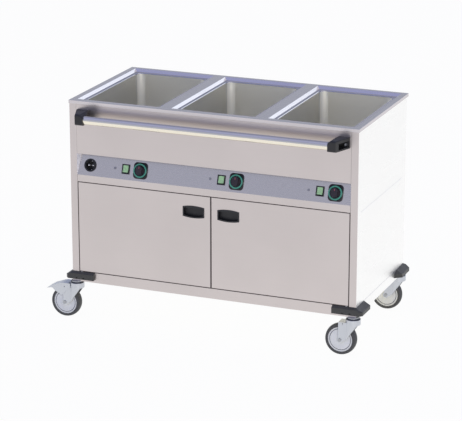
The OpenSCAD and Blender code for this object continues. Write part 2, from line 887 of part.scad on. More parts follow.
// Each pin has a collar that keeps the door off the rail
module hinge_pins() {
    end_gap = 1;
    collar = 2.5;
    color("silver") for (x = [-hinge_x, hinge_x]) translate([x, hinge_y, 0]) {
        translate([0, 0, door_sill_z - rail_t])
            cylinder(d = hinge_d, h = rail_t + seam + hinge_len - end_gap);
        translate([0, 0, door_sill_z]) cylinder(d = hinge_d + 2*collar, h = seam);
        translate([0, 0, header_z - seam - hinge_len + end_gap])
            cylinder(d = hinge_d, h = hinge_len + seam + sheet);
    }
}

// A magnet catch behind each door's top edge, with its magnet's face sunk in
module door_catches() {
    w = 46;
    h = 16;
    dep = 14;
    sunk = 3;
    catch_in = 60;
    side_wall = 8;
    end_wall = 4;
    color("white") both_sides() {
        x = door_x0 + catch_in;
        y = front_y + door_t + part_gap;
        difference() {
            block([x, y, header_z - h], [x + w, y + dep, header_z]);
            block([x + side_wall, y - eps, header_z - h + end_wall],
                [x + w - side_wall, y + sunk, header_z - end_wall]);
        }
    }
}

// ---------- Controls ----------

rocker_pivot = 4;
rocker_pin_d = 3;
rocker_pin_in = 2;
switch_dep = 26;
switch_back = 6;
switch_rim = 2;

// A centred block on the panel, as wide and high as a switch's body
module switch_block(grow, y0, dep) {
    w = switch_w - 2*switch_rim + 2*grow;
    h = switch_h - 2*switch_rim + 2*grow;
    translate([-w/2, y0, -h/2]) cube([w, dep, h]);
}

dial_r = 15;
spindle_room = 2;

module dial_plates() {
    color("black") for (x = knob_xs) on_panel(x) translate([0, -dial_t, 0]) difference() {
        upright(dial_t) round_rect(dial_w, dial_h, dial_r);
        translate([0, -eps, 0]) rod(spindle_d + 2*spindle_room, dial_t + 2*eps, "y");
    }
}

knob_gap = 0.6;
knob_dish = 3;
knob_draft = 1.5;
grip_draft = 2;
grip_waist = 0.62;    // width between the grip's flat sides, as a share of its diameter
grip_foot = 2;
spindle_in = 22;

// A knob's skirt has a rim round a sunk face, and its grip narrows to two flat sides
module knob(i) {
    face = dial_t + knob_gap + knob_skirt;
    rim_d = knob_d - 2*knob_draft;
    waist = grip_d*grip_waist;
    color("darkgreen") on_panel(knob_xs[i]) {
        difference() {
            union() {
                translate([0, -face, 0]) rotate([-90, 0, 0])
                    cylinder(d1 = rim_d, d2 = knob_d, h = knob_skirt);
                translate([0, -face - grip_h, 0]) rotate([-90, 0, 0])
                    cylinder(d1 = grip_d - 2*grip_draft, d2 = grip_d, h = grip_h + knob_dish);
            }
            translate([0, -face - eps, 0]) difference() {
                rod(rim_d - 2*knob_rim, knob_dish + eps, "y");
                rod(grip_d, knob_dish + eps, "y");
            }
            for (s = [-1, 1]) translate([s*(grip_d + waist)/2, -face - grip_h - eps, -grip_d/2])
                translate([-grip_d/2, 0, 0]) cube([grip_d, grip_h - grip_foot + eps, grip_d]);
        }
        translate([0, -dial_t - knob_gap, 0]) rod(spindle_d, dial_t + knob_gap + spindle_in, "y");
    }
}

// A thermostat's body behind the panel, with its neck in front and its terminals behind
module thermostats() {
    neck = [12, 4];
    body = [36, 28, 34];
    terminals = [20, 6, 24];
    color("gray") for (x = knob_xs) on_panel(x) difference() {
        union() {
            translate([0, sheet, 0]) rod(neck[0], neck[1] + eps, "y");
            translate([-body[0]/2, sheet + neck[1], -body[2]/2]) cube(body);
            translate([-terminals[0]/2, sheet + neck[1] + body[1] - eps, -terminals[2]/2])
                cube(terminals + [0, eps, 0]);
        }
        translate([0, sheet - eps, 0]) rod(spindle_d + 2*run_gap, spindle_in + eps, "y");
    }
}

module switch_frames() {
    window_w = rocker_w + 2*part_gap;
    window_h = rocker_h + 2*rocker_rise*sin(rocker_tilt) + 2*part_gap;
    color("black") for (x = knob_xs) on_panel(x - switch_off) difference() {
        union() {
            translate([-switch_w/2, -switch_rim, -switch_h/2])
                cube([switch_w, switch_rim, switch_h]);
            switch_block(0, 0, switch_dep);
        }
        translate([-window_w/2, -switch_rim - eps, -window_h/2])
            cube([window_w, switch_rim + switch_dep - switch_back + eps, window_h]);
        translate([-window_w/2 - rocker_pin_in, rocker_pivot, 0])
            rod(rocker_pin_d + 2*run_gap, window_w + 2*rocker_pin_in, "x");
    }
}

// A rocker's two faces meet in a shallow valley, and its pin turns in the frame
module rocker(i) {
    h = rocker_h/2;
    valley = 1.6;
    heel = 6;
    heel_in = 2;
    pin_len = rocker_w + 2*part_gap + 2*rocker_pin_in - 2*run_gap;
    color("palegreen") on_panel(knob_xs[i] - switch_off) translate([0, rocker_pivot, 0])
        rotate([-rocker_tilt, 0, 0]) {
            rotate([90, 0, 90]) linear_extrude(rocker_w, center = true)
                polygon([[-rocker_rise, -h], [-rocker_rise + valley, 0], [-rocker_rise, h],
                    [heel, h - heel_in], [heel, heel_in - h]]);
            translate([-pin_len/2, 0, 0]) rod(rocker_pin_d, pin_len, "x");
        }
}

module signal_lamps() {
    lens_t = 1.5;
    body_len = 14;
    color("slategray") for (x = knob_xs) on_panel(x - lamp_off) {
        translate([0, -lens_t, 0]) rod(lamp_d, lens_t, "y");
        rod(lamp_d - 2*lamp_rim, body_len, "y");
    }
}

inlet_flange = 2;
inlet_wall = 3;
cup_d = inlet_d - 2*inlet_rim;

module power_inlet() {
    color("black") on_panel(inlet_x) difference() {
        union() {
            translate([0, -inlet_flange, 0]) rod(inlet_d, inlet_flange, "y");
            rod(cup_d, inlet_dep, "y");
        }
        translate([0, -inlet_flange - eps, 0])
            rod(cup_d - 2*inlet_wall, inlet_dep - inlet_wall + inlet_flange + eps, "y");
    }
}

// Two round pins, and an earth strip at the top and the bottom of the cup
module inlet_pins() {
    base = inlet_dep - inlet_wall;
    pin_len = 19;
    strip = [5, 16, 1.2];
    strip_in = 3;
    strip_up = cup_d/2 - inlet_wall - strip_in;
    color("silver") on_panel(inlet_x) {
        for (s = [-1, 1]) translate([s*pin_gap/2, base - pin_len, 0]) rod(pin_d, pin_len, "y");
        for (s = [-1, 1]) translate([-strip[0]/2, base - strip[1], s*strip_up - strip[2]/2])
            cube(strip);
    }
}

// ---------- Castors ----------

// Puts a castor's own pieces at one corner: side -1 or 1, and at the front or the back
module at_castor(side, front) {
    translate([side*swivel_x, front ? swivel_y0 : swivel_y1, 0]) children();
}

module castor_stems() {
    color("silver") for (s = [-1, 1], f = [true, false]) at_castor(s, f) {
        translate([0, 0, rail_z - hub_h]) cylinder(d = hub_d, h = hub_h);
        translate([0, 0, rail_z]) cylinder(d = stem_d, h = stem_len);
        translate([0, 0, head_z0 - nut_h - part_gap])
            cylinder(d = king_d, h = rail_z - hub_h - head_z0 + nut_h + part_gap);
        translate([0, 0, head_z0 - nut_h - part_gap])
            cylinder(d = king_d + 2*nut_wall, h = nut_h, $fn = 6);
    }
}

// Side of a fork, seen from the front: x from the swivel, z from the floor
module fork_side() {
    back_x = -trail - leg_in;
    polygon([[back_x, plate_z], [crease_x, plate_z], [crease_x, leg_z],
        [-trail + leg_end_r*cos(leg_end_turn), axle_z - leg_end_r*sin(leg_end_turn)],
        [-trail, axle_z], [back_x, axle_z]]);
    translate([-trail, axle_z]) circle(leg_end_r);
}

// A fork's sheet turns in at the crease and sweeps round to the head
module fork_sweep() {
    hull() {
        block([crease_x - eps, -fork_w/2, leg_z], [crease_x, -fork_gap/2, plate_z]);
        intersection() {
            translate([0, 0, head_z0]) cylinder(d = head_d, h = plate_t, $fn = 64);
            block([-head_d/2, -head_d, 0], [head_d/2, -fork_gap/2, head_z0 + plate_t]);
        }
    }
}

module fork(hole_x) {
    color("lightgray") difference() {
        union() {
            translate([0, 0, head_z0]) cylinder(d = head_d, h = head_h);
            for (s = [0, 1]) mirror([0, s, 0]) {
                translate([0, -fork_gap/2, 0]) rotate([90, 0, 0]) linear_extrude(fork_t) fork_side();
                fork_sweep();
            }
            block([-trail - leg_in, -fork_w/2, plate_z - plate_t], [crease_x, fork_w/2, plate_z]);
        }
        translate([0, 0, head_z1 - bearing_dep])
            cylinder(d = head_d - 2*bearing_wall, h = bearing_dep + eps);
        translate([0, 0, head_z0 - eps]) cylinder(d = king_d + 2*run_gap, h = head_h + 2*eps);
        translate([-trail, -fork_w, axle_z]) rod(axle_d + 2*fit_gap, 2*fork_w, "y");
        translate([hole_x, -fork_w, pedal_pin_z]) rod(pedal_pin_d + 2*run_gap, 2*fork_w, "y");
    }
}

tread_r = 44;
wheel_recess = 2;
wheel_hub_d = 26;
hub_room = 0.5;
groove_in = 6;
groove_w = 2.5;
groove_dep = 1.5;

// The tyre's tread is crowned, so only its middle touches the floor
module tyre() {
    r = wheel_d/2;
    color("dimgray") translate([-trail, 0, axle_z]) rotate([90, 0, 0]) rotate_extrude($fn = 96)
        intersection() {
            translate([r - tyre_t, -tyre_w/2]) square([tyre_t, tyre_w]);
            translate([r - tread_r, 0]) circle(tread_r, $fn = 96);
        }
}

module wheel_core() {
    r = wheel_d/2 - tyre_t;
    hub_w = fork_gap - 2*hub_room;
    core_w = tyre_w - 2*wheel_recess;
    color("lightgray") translate([-trail, 0, axle_z]) rotate([90, 0, 0]) difference() {
        union() {
            cylinder(r = r, h = core_w, center = true, $fn = 96);
            cylinder(d = wheel_hub_d, h = hub_w, center = true);
        }
        for (s = [-1, 1]) translate([0, 0, s*core_w/2]) difference() {
            cylinder(r = r - groove_in, h = 2*groove_dep, center = true, $fn = 96);
            cylinder(r = r - groove_in - groove_w, h = 2*groove_dep + eps, center = true, $fn = 96);
        }
        cylinder(d = axle_d + 2*run_gap, h = hub_w + 2*eps, center = true);
    }
}

// An axle bolt, its round head in front and its nut behind
module axle() {
    head = [14, 3];
    nut = [15, 4];
    color("silver") translate([-trail, -fork_w/2, axle_z]) {
        rod(axle_d, fork_w, "y");
        translate([0, -head[1], 0]) rod(head[0], head[1], "y");
        translate([0, fork_w, 0]) rotate([-90, 0, 0]) cylinder(d = nut[0], h = nut[1], $fn = 6);
    }
}

// Side of a pedal: its upper edge out to the tip, then its lower edge back to the fork,
// as distances from the swivel and from the underside of the fork's head
pedal_top = [[-20, 16.5], [-36, 18], [-52, 17.5], [-66, 14.5], [-86, 7], [-102, 1.5],
    [-pedal_reach, -12]];
pedal_low = [[-101, -8], [-89, -19], [-76, -26], [-62, -31], [-52, -31], [-40, -14], [-22, -1]];

module brake_pedal() {
    in_w = fork_w + 2*part_gap;
    n = len(pedal_top);
    web = [for (i = [n - 1:-1:0]) pedal_top[i] - [0, pedal_t]];
    color("lightgray") translate([0, 0, head_z0]) {
        for (s = [0, 1]) mirror([0, s, 0]) translate([0, -in_w/2, 0]) rotate([90, 0, 0])
            linear_extrude(pedal_t) polygon(concat(pedal_top, pedal_low));
        difference() {
            rotate([90, 0, 0]) linear_extrude(in_w + pedal_t, center = true)
                polygon(concat(pedal_top, web));
            translate([0, 0, -head_h]) cylinder(d = head_d + 2*pedal_room, h = 3*head_h);
        }
        translate([pedal_pin_x, -in_w/2 - pedal_t - pin_out, pedal_pin_z - head_z0])
            rod(pedal_pin_d, in_w + 2*pedal_t + 2*pin_out, "y");
    }
}

module place() {
    translate(shift) children();
}

// ---------- The trolley ----------

place() worktop();
place() well(0);  // well_left
place() well(1);  // well_middle
place() well(2);  // well_right
place() heating_elements();
place() drain_manifold();
place() drain_lever();
place() upper_front_panel();
place() control_panel();
place() header_rail();
place() front_posts();
place() rear_posts();
place() upper_side_panels();
place() lower_side_panels();
place() back_panel();
place() cupboard_ceiling();
place() cupboard_floor();
place() base_frame();
place() front_bumpers();
place() rear_bumpers();
place() push_bar();
place() bar_brackets();
place() bar_screws();
place() left_door();
place() right_door();
place() left_door_pull();
place() right_door_pull();
place() hinge_pins();
place() door_catches();
place() knob(0);  // knob_left
place() knob(1);  // knob_middle
place() knob(2);  // knob_right
place() dial_plates();
place() thermostats();
place() switch_frames();
place() rocker(0);  // rocker_left
place() rocker(1);  // rocker_middle
place() rocker(2);  // rocker_right
place() signal_lamps();
place() power_inlet();
place() inlet_pins();
place() castor_stems();
place() at_castor(-1, true) fork(pedal_pin_x);  // fork_front_left
place() at_castor(1, true) fork(spare_hole_x);  // fork_front_right
place() at_castor(-1, false) fork(pedal_pin_x);  // fork_rear_left
place() at_castor(1, false) fork(spare_hole_x);  // fork_rear_right
place() at_castor(-1, true) tyre();  // tyre_front_left
place() at_castor(1, true) tyre();  // tyre_front_right
place() at_castor(-1, false) tyre();  // tyre_rear_left
place() at_castor(1, false) tyre();  // tyre_rear_right
place() at_castor(-1, true) wheel_core();  // wheel_front_left
place() at_castor(1, true) wheel_core();  // wheel_front_right
place() at_castor(-1, false) wheel_core();  // wheel_rear_left
place() at_castor(1, false) wheel_core();  // wheel_rear_right
place() at_castor(-1, true) axle();  // axle_front_left
place() at_castor(1, true) axle();  // axle_front_right
place() at_castor(-1, false) axle();  // axle_rear_left
place() at_castor(1, false) axle();  // axle_rear_right
place() at_castor(-1, true) brake_pedal();  // brake_pedal_front
place() at_castor(-1, false) brake_pedal();  // brake_pedal_rear
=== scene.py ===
import math

import bmesh
import bpy
from mathutils import Matrix, Vector


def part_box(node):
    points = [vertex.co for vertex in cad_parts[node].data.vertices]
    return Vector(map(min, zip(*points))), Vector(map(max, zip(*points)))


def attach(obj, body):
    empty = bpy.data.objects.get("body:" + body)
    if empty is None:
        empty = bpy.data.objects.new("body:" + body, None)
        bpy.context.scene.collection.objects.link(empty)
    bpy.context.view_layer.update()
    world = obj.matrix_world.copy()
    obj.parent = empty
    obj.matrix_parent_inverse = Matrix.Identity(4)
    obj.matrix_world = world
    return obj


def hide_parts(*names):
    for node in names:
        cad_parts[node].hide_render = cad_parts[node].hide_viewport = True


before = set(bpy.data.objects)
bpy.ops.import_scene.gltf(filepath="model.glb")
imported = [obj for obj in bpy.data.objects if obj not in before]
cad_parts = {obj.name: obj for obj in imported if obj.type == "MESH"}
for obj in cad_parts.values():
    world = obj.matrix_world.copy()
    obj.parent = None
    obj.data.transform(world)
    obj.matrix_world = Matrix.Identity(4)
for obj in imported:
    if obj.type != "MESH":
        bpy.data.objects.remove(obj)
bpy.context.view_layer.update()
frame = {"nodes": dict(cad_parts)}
nodes = frame["nodes"]
scene = bpy.context.scene

# ---------------------------------------------------------------- sizes
# Lengths are in millimetres. X and Y start from the worktop's middle, and Z from the floor.

low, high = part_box("worktop")
SX, SY = (low.x + high.x) / 2, (low.y + high.y) / 2     # the worktop's middle, in metres
OUTSIDE_X = 590             # a side face beyond this is on the cabinet's outside
POST_INSIDE_X = 575         # a front post's inner face is nearer than this
JOINT_X, JOINT_Z = 597.2, 567.5         # the joint between upper and lower side panels
SILL_JOINT_X, SILL_Z = 597.85, 197      # the joint over the base frame
WELLS = ("well_left", "well_middle", "well_right")
WELL_OPENING = (310, 510, 32)           # width, depth and corner radius
SEAT_Z = 890                # the flat ledges in the seats lie lower than this, the rim higher
# The width of the dark strip painted round each door as the shade of its gap
DOOR_SHADE_WIDTH = 2.2

# The control panel, and what stands on it
LEAN = math.radians(17.5)
FRONT_Y, CONTROL_Z, CONTROL_UP = -298, 600, 41.5
PANEL_END_X = 540           # the panel's end walls are beyond this
KNOB_X = {"left": -301, "middle": 102, "right": 505}
KNOB_SKIRT_OUT, KNOB_GRIP_R = 5.8, 19.6
INLET_X, INLET_R = -517, 21.5
PIN_GAP, PIN_R, PIN_TIP_OUT = 19, 3.6, -7

# The castors, which trail to the left
SWIVEL_X, SWIVEL_Y, TRAIL, AXLE_Z = 584, (-289, 275), 47, 62.5
CORNERS = {"front_left": (-SWIVEL_X, SWIVEL_Y[0]), "front_right": (SWIVEL_X, SWIVEL_Y[0]),
           "rear_left": (-SWIVEL_X, SWIVEL_Y[1]), "rear_right": (SWIVEL_X, SWIVEL_Y[1])}
PEDAL_PIN_BACK, PEDAL_PIN_Z, PEDAL_PIN_R = 46, 129.5, 2.1


def body_point(x, y, z):
    """A point given in millimetres from the worktop's middle, as metres in the frame."""
    return Vector((x / 1000 + SX, y / 1000 + SY, z / 1000))


def at(x, y, z):
    """A place in the body, given in millimetres, as a matrix."""
    return Matrix.Translation(body_point(x, y, z))


UPRIGHT = Matrix.Rotation(math.pi / 2, 4, "X")          # turns local Z to face the front


def on_panel(x):
    """A place on the sloping panel: local X along it, Y up it and Z out of it."""
    up = Matrix.Translation((0, 0, CONTROL_UP / 1000))
    return at(x, FRONT_Y, CONTROL_Z) @ Matrix.Rotation(-LEAN, 4, "X") @ up @ UPRIGHT


def from_panel(p, x):
    """How far a point is out of the panel, and from the axis of what stands on it at x."""
    local = on_panel(x).inverted() @ body_point(*p) * 1000
    return local.z, math.hypot(local.x, local.y)


# ---------------------------------------------------------------- materials

EVEN = (1, 1, 1)
ALONG_X, ALONG_Y, ALONG_Z = (0.02, 1, 1), (1, 0.02, 1), (1, 1, 0.02)


class Mat:
    """A node material built step by step."""

    def __init__(self, name):
        self.mat = bpy.data.materials.new(name)
        self.mat.use_nodes = True
        self.tree = self.mat.node_tree
        self.bsdf = self.tree.nodes["Principled BSDF"]
        self.coord = self.tree.nodes.new("ShaderNodeTexCoord")

    def set(self, **values):
        """Sets sockets of the shader, named with _ for a space."""
        for key, value in values.items():
            self.bsdf.inputs[key.replace("_", " ")].default_value = value
        return self

    def mapping(self, scale):
        """The object's coordinates, scaled along each axis."""
        node = self.tree.nodes.new("ShaderNodeMapping")
        node.inputs["Scale"].default_value = scale
        self.tree.links.new(self.coord.outputs["Object"], node.inputs["Vector"])
        return node.outputs["Vector"]

    def noise(self, scale, detail, stretch=EVEN, rough=0.5):
        """Noise of a given scale, drawn out along the axes where stretch is small."""
        node = self.tree.nodes.new("ShaderNodeTexNoise")
        node.inputs["Scale"].default_value = scale
        node.inputs["Detail"].default_value = detail
        node.inputs["Roughness"].default_value = rough
        self.tree.links.new(self.mapping(stretch), node.inputs["Vector"])
        return node.outputs["Fac"]

    def range(self, value, low, high):
        """Spreads the middle of a noise, where nearly all of it lies, from low to high."""
        node = self.tree.nodes.new("ShaderNodeMapRange")
        node.inputs["From Min"].default_value = 0.3
        node.inputs["From Max"].default_value = 0.7
        node.inputs["To Min"].default_value = low
        node.inputs["To Max"].default_value = high
        self.tree.links.new(value, node.inputs["Value"])
        return node.outputs["Result"]

    def mix(self, factor, a, b):
        """A colour between a and b."""
        node = self.tree.nodes.new("ShaderNodeMix")
        node.data_type = "RGBA"
        node.inputs["A"].default_value = (*a, 1)
        node.inputs["B"].default_value = (*b, 1)
        self.tree.links.new(factor, node.inputs["Factor"])
        return node.outputs["Result"]

    def link(self, output, name):
        """Feeds a socket of the shader."""
        self.tree.links.new(output, self.bsdf.inputs[name])
        return self

    def backdrop(self, colour, share):
        """Shows the camera and the metal this colour, mixed with a share of the lit surface."""
        nodes, links = self.tree.nodes, self.tree.links
        path = nodes.new("ShaderNodeLightPath")
        glow = nodes.new("ShaderNodeEmission")
        glow.inputs["Color"].default_value = (*colour, 1)
        seen = path.outputs["Is Camera Ray"]
        for ray in ("Is Glossy Ray", "Is Transmission Ray"):
            either = nodes.new("ShaderNodeMath")
            either.operation = "MAXIMUM"
            links.new(seen, either.inputs[0])
            links.new(path.outputs[ray], either.inputs[1])
            seen = either.outputs["Value"]
        part = nodes.new("ShaderNodeMath")
        part.operation = "MULTIPLY"
        part.inputs[1].default_value = 1 - share
        links.new(seen, part.inputs[0])
        mix = nodes.new("ShaderNodeMixShader")
        links.new(part.outputs["Value"], mix.inputs["Fac"])
        links.new(self.bsdf.outputs["BSDF"], mix.inputs[1])
        links.new(glow.outputs["Emission"], mix.inputs[2])
        links.new(mix.outputs["Shader"], nodes["Material Output"].inputs["Surface"])
        return self

    def bump(self, height, strength, distance):
        """Gives the surface a relief of at most the distance, in metres."""
        node = self.tree.nodes.new("ShaderNodeBump")
        node.inputs["Strength"].default_value = strength
        node.inputs["Distance"].default_value = distance
        self.tree.links.new(height, node.inputs["Height"])
        self.tree.links.new(node.outputs["Normal"], self.bsdf.inputs["Normal"])
        return self


def clouded(m, cloud, colour, spread):
    """Varies a material's colour a little, from patch to patch."""
    low = tuple(c * (1 - spread) for c in colour)
    high = tuple(min(1.0, c * (1 + spread)) for c in colour)
    m.link(m.mix(m.range(cloud, 0, 1), low, high), "Base Color")


def brushed(name, colour, rough, grain=EVEN, depth=0.06, spread=0.03, metal=1.0):
    """Satin metal: a fine grain, with faint cloudy patches in its tint."""
    m = Mat(name).set(Metallic=metal, Specular_IOR_Level=0.5)
    cloud = m.noise(3.0, 2.0)
    fine = m.noise(220.0, 4.0, grain, 0.65)
    clouded(m, cloud, colour, spread)
    m.link(m.range(fine, rough - 0.035, rough + 0.035), "Roughness")
    return m.bump(fine, depth, 0.00006).mat


def plastic(name, colour, rough, grain=900.0, depth=0.15, spread=0.12, **extra):
    """Moulded plastic: a fine grained skin, faint mottling and uneven gloss."""
    m = Mat(name).set(Metallic=0.0, **extra)
    cloud = m.noise(25.0, 3.0)
    fine = m.noise(grain, 2.0)
    clouded(m, cloud, colour, spread)
    m.link(m.range(cloud, rough - 0.06, rough + 0.06), "Roughness")
    return m.bump(fine, depth, 0.0001).mat


# The same steel shows as several materials, because the photo's light differs from face to face
STEEL = (0.64, 0.585, 0.57)
steel_front = brushed("steel_front", STEEL, 0.33, ALONG_X)
steel_side = brushed("steel_side", (1.0, 0.995, 0.985), 0.30, ALONG_Y, 0.025, 0.005)
steel_back = brushed("steel_back", STEEL, 0.36, ALONG_X)
steel_top = brushed("steel_top", (0.625, 0.59, 0.615), 0.22, ALONG_X)
steel_flat = brushed("steel_flat", (0.55, 0.505, 0.49), 0.22, ALONG_X)
steel_slope = brushed("steel_slope", (0.78, 0.74, 0.72), 0.22, ALONG_X)
steel_edge = brushed("steel_edge", (0.57, 0.57, 0.60), 0.22, ALONG_Y, spread=0.01)
steel_ledge = brushed("steel_ledge", (0.66, 0.63, 0.58), 0.5, ALONG_X)
steel_well = brushed("steel_well", (0.96, 0.935, 0.81), 0.54, ALONG_X, spread=0.015)
steel_well_side = brushed("steel_well_side", (0.65, 0.64, 0.585), 0.5, ALONG_Y, spread=0.015)
steel_panel = brushed("steel_panel", (0.70, 0.645, 0.605), 0.27, ALONG_X, 0.012, 0.01)
steel_post = brushed("steel_post", STEEL, 0.35, ALONG_Z)
steel_tube = brushed("steel_tube", (0.87, 0.82, 0.70), 0.14, ALONG_X, 0.03)
steel_end = brushed("steel_end", (0.97, 0.965, 0.95), 0.45, ALONG_Z, metal=0.12)
zinc = brushed("zinc", (0.58, 0.60, 0.64), 0.36, EVEN, 0.04, 0.05)
axle_steel = brushed("axle_steel", (0.45, 0.46, 0.47), 0.55, EVEN, 0.05, 0.06)
nickel = brushed("nickel", (0.90, 0.89, 0.87), 0.3, EVEN, 0.03, 0.03, metal=0.6)
heater_skin = brushed("heater_skin", (0.14, 0.12, 0.11), 0.5, EVEN, 0.1, 0.2)
brass = brushed("brass", (0.72, 0.52, 0.24), 0.3, EVEN, 0.05, 0.05)
dark_plastic = plastic("dark_plastic", (0.051, 0.050, 0.043), 0.46)
# Painted shade: the bumpers' upward faces are darker, as less light falls on them from above
shaded_bumper_top = plastic("shaded_bumper_top", (0.020, 0.020, 0.026), 0.42)
bracket_plastic = plastic("bracket_plastic", (0.014, 0.014, 0.015), 0.42)
black_plastic = plastic("black_plastic", (0.010, 0.010, 0.012), 0.40, 1200.0, 0.08)
gloss_black = plastic("gloss_black", (0.034, 0.034, 0.036), 0.2, 1200.0, 0.04)
pull_plastic = plastic("pull_plastic", (0.012, 0.012, 0.014), 0.46, 1000.0, 0.1)
seam_shade = plastic("seam_shade", (0.085, 0.062, 0.055), 0.7, 900.0, 0.1)
# Dark blue grey for the ring painted round each castor stem's foot, as shade in the gap over
# the head
stem_foot_shade = plastic("stem_foot_shade", (0.030, 0.033, 0.045), 0.4, 900.0, 0.1)
joint_filler = plastic("joint_filler", (0.80, 0.80, 0.79), 0.6, 900.0, 0.05, 0.03)
joint_line = plastic("joint_line", (0.62, 0.62, 0.60), 0.6, 900.0, 0.05, 0.03)
tyre_rubber = plastic("tyre_rubber", (0.076, 0.076, 0.071), 0.62, 700.0, 0.2)
wheel_plastic = plastic("wheel_plastic", (0.87, 0.875, 0.80), 0.38, 900.0, 0.05, 0.03)
# A dark colour painted into the wheels' grooves, as their shade
groove_shade = plastic("groove_shade", (0.12, 0.12, 0.125), 0.6, 900.0, 0.05)
knob_plastic = plastic("knob_plastic", (0.006, 0.040, 0.031), 0.30, 1400.0, 0.04, 0.15)
ring_plastic = plastic("ring_plastic", (0.082, 0.360, 0.240), 0.34, 1400.0, 0.03, 0.08)
grip_plastic = plastic("grip_plastic", (0.028, 0.020, 0.026), 0.34, 1400.0, 0.04)
mark_plastic = plastic("mark_plastic", (0.42, 0.10, 0.12), 0.4, 1400.0, 0.03)
tick_plastic = plastic("tick_plastic", (0.42, 0.40, 0.42), 0.4, 1400.0, 0.03)
rocker_plastic = plastic("rocker_plastic", (0.53, 0.85, 0.43), 0.28, 1400.0, 0.03, 0.05,
                         Transmission_Weight=0.15)
lamp_plastic = plastic("lamp_plastic", (0.27, 0.27, 0.29), 0.22, 1400.0, 0.02)
white_plastic = plastic("white_plastic", (0.74, 0.74, 0.72), 0.45)
grey_plastic = plastic("grey_plastic", (0.40, 0.41, 0.43), 0.45)
red_plastic = plastic("red_plastic", (0.45, 0.035, 0.025), 0.4)

LOOK = {
    "worktop": steel_top, "heating_elements": heater_skin,
    "drain_manifold": brass, "drain_lever": red_plastic,
    "upper_front_panel": steel_front, "control_panel": steel_panel,
    "header_rail": steel_front, "front_posts": steel_post, "rear_posts": steel_side,
    "upper_side_panels": steel_side, "lower_side_panels": steel_side,
    "back_panel": steel_back, "cupboard_ceiling": steel_well, "cupboard_floor": steel_well,
    "base_frame": steel_front, "front_bumpers": dark_plastic, "rear_bumpers": dark_plastic,
    "push_bar": steel_tube, "bar_brackets": bracket_plastic, "bar_screws": zinc,
    "left_door": steel_front, "right_door": steel_front,
    "left_door_pull": pull_plastic, "right_door_pull": pull_plastic,
    "hinge_pins": zinc, "door_catches": white_plastic,
    "dial_plates": black_plastic, "thermostats": grey_plastic,
    "switch_frames": black_plastic, "signal_lamps": lamp_plastic,
    "power_inlet": black_plastic, "inlet_pins": nickel, "castor_stems": zinc,
    "brake_pedal_front": zinc, "brake_pedal_rear": zinc,
}
for side in KNOB_X:
    LOOK["well_" + side] = steel_well
    LOOK["knob_" + side] = knob_plastic
    LOOK["rocker_" + side] = rocker_plastic
for corner in CORNERS:
    LOOK["fork_" + corner] = zinc
    LOOK["axle_" + corner] = axle_steel
    LOOK["tyre_" + corner] = tyre_rubber
    LOOK["wheel_" + corner] = wheel_plastic
for name, obj in nodes.items():
    obj.data.materials.clear()
    obj.data.materials.append(LOOK[name])


def paint(node, material, test):
    """Gives a node's faces another material where test(middle in millimetres, normal) holds."""
    mesh = nodes[node].data
    mesh.materials.append(material)
    for face in mesh.polygons:
        c = face.center
        middle = Vector(((c.x - SX) * 1000, (c.y - SY) * 1000, c.z * 1000))
        if test(middle, face.normal):
            face.material_index = len(mesh.materials) - 1


def on_rim(node):
    """Whether a face is one of the outer edges of a flat upright node."""
    low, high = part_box(node)
    x0, x1 = (low.x - SX) * 1000, (high.x - SX) * 1000
    z0, z1 = low.z * 1000, high.z * 1000

    def test(p, n):
        return ((abs(n.x) > 0.9 and min(abs(p.x - x0), abs(p.x - x1)) < 0.2)
                or (abs(n.z) > 0.9 and min(abs(p.z - z0), abs(p.z - z1)) < 0.2))
    return test


def on_grip(x):
    """Whether a face is on the grip of the knob at x, and not on its skirt."""
    def test(p, n):
        out, radius = from_panel(p, x)
        return out > KNOB_SKIRT_OUT and radius < KNOB_GRIP_R
    return test


for node in ("left_door", "right_door", "header_rail", "upper_front_panel"):
    paint(node, seam_shade, on_rim(node))
paint("front_posts", steel_side, lambda p, n: abs(n.x) > 0.9 and abs(p.x) > OUTSIDE_X)
paint("front_posts", seam_shade, lambda p, n: abs(n.x) > 0.9 and abs(p.x) < POST_INSIDE_X)
paint("base_frame", steel_side, lambda p, n: abs(n.x) > 0.9 and abs(p.x) > OUTSIDE_X)
paint("base_frame", seam_shade,
      lambda p, n: n.z > 0.9 and p.z > SILL_Z - 7 and p.y < FRONT_Y + 48)
paint("control_panel", steel_end, lambda p, n: abs(n.x) > 0.3 and abs(p.x) > PANEL_END_X)
paint("rear_posts", steel_back, lambda p, n: n.y > 0.5)
# The bumpers' upward faces get a darker colour, painted shade from the weak light above
for node in ("front_bumpers", "rear_bumpers"):
    paint(node, shaded_bumper_top, lambda p, n: n.z > 0.9)
# A dark disc painted on each pedal's sides round its pivot pin, painted shade of the pin's hole
for node in ("brake_pedal_front", "brake_pedal_rear"):
    paint(node, pull_plastic, lambda p, n: abs(n.y) > 0.9 and math.hypot(
        p.x + SWIVEL_X + PEDAL_PIN_BACK, p.z - PEDAL_PIN_Z) < PEDAL_PIN_R)
for node in WELLS:
    paint(node, steel_well_side, lambda p, n: abs(n.x) > 0.9)
paint("worktop", steel_flat, lambda p, n: n.z > 0.99)
paint("worktop", steel_ledge, lambda p, n: n.z > 0.99 and p.z < SEAT_Z)
paint("worktop", steel_edge, lambda p, n: n.x > 0.3 and n.z > 0.3)
paint("worktop", steel_slope, lambda p, n: n.y < -0.3 and n.z > 0.3)
paint("power_inlet", gloss_black, lambda p, n: from_panel(p, INLET_X)[1] < INLET_R)
for side, x in KNOB_X.items():
    paint("knob_" + side, grip_plastic, on_grip(x))


